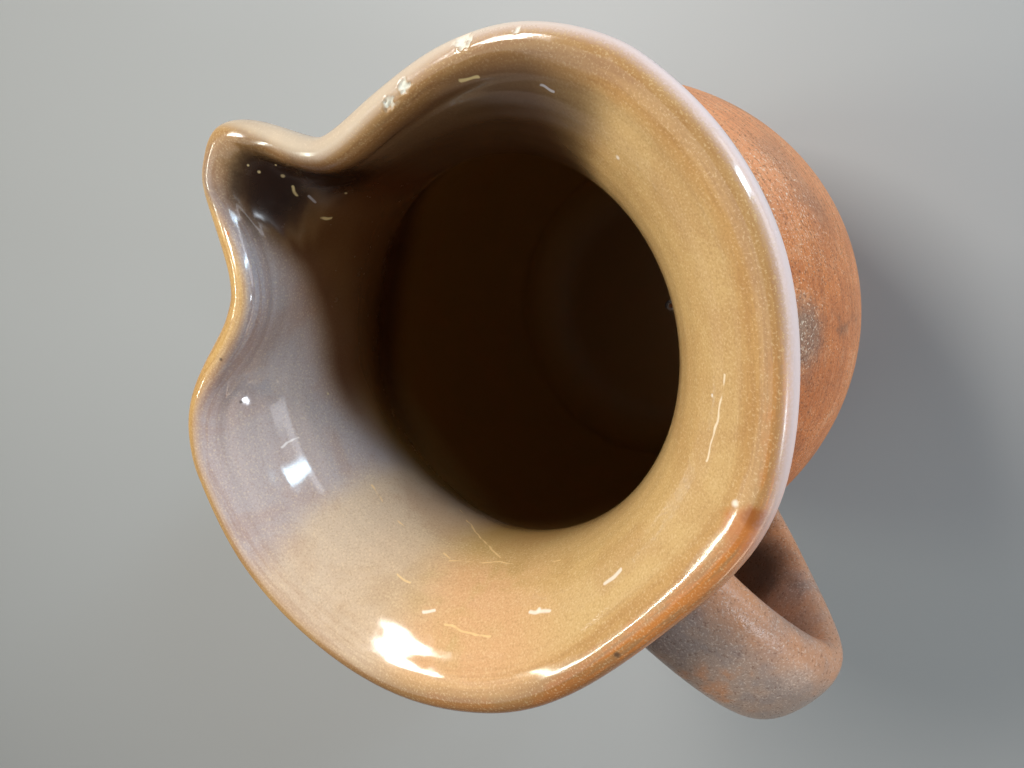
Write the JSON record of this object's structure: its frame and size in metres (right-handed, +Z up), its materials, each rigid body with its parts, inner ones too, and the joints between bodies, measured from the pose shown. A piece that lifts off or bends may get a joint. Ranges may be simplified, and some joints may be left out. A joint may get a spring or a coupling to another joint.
{
  "type": "pitcher",
  "caption": "Small glazed terracotta pouring jug with a flared, pinched mouth, a rounded belly, a flat base and a strap handle.",
  "frame": {"origin": "middle of the flat underside, on the axis the body was thrown about", "axes": "+Z up out of the mouth, +X towards the pouring lip, the handle towards -X"},
  "size_m": [0.1476, 0.1224, 0.16],
  "materials": {
    "fired_clay": "clear honey-coloured glaze inside and over the lip, bare matt terracotta outside"
  },
  "bodies": {
    "root": {"jug": "fired_clay"}
  },
  "joints": []
}
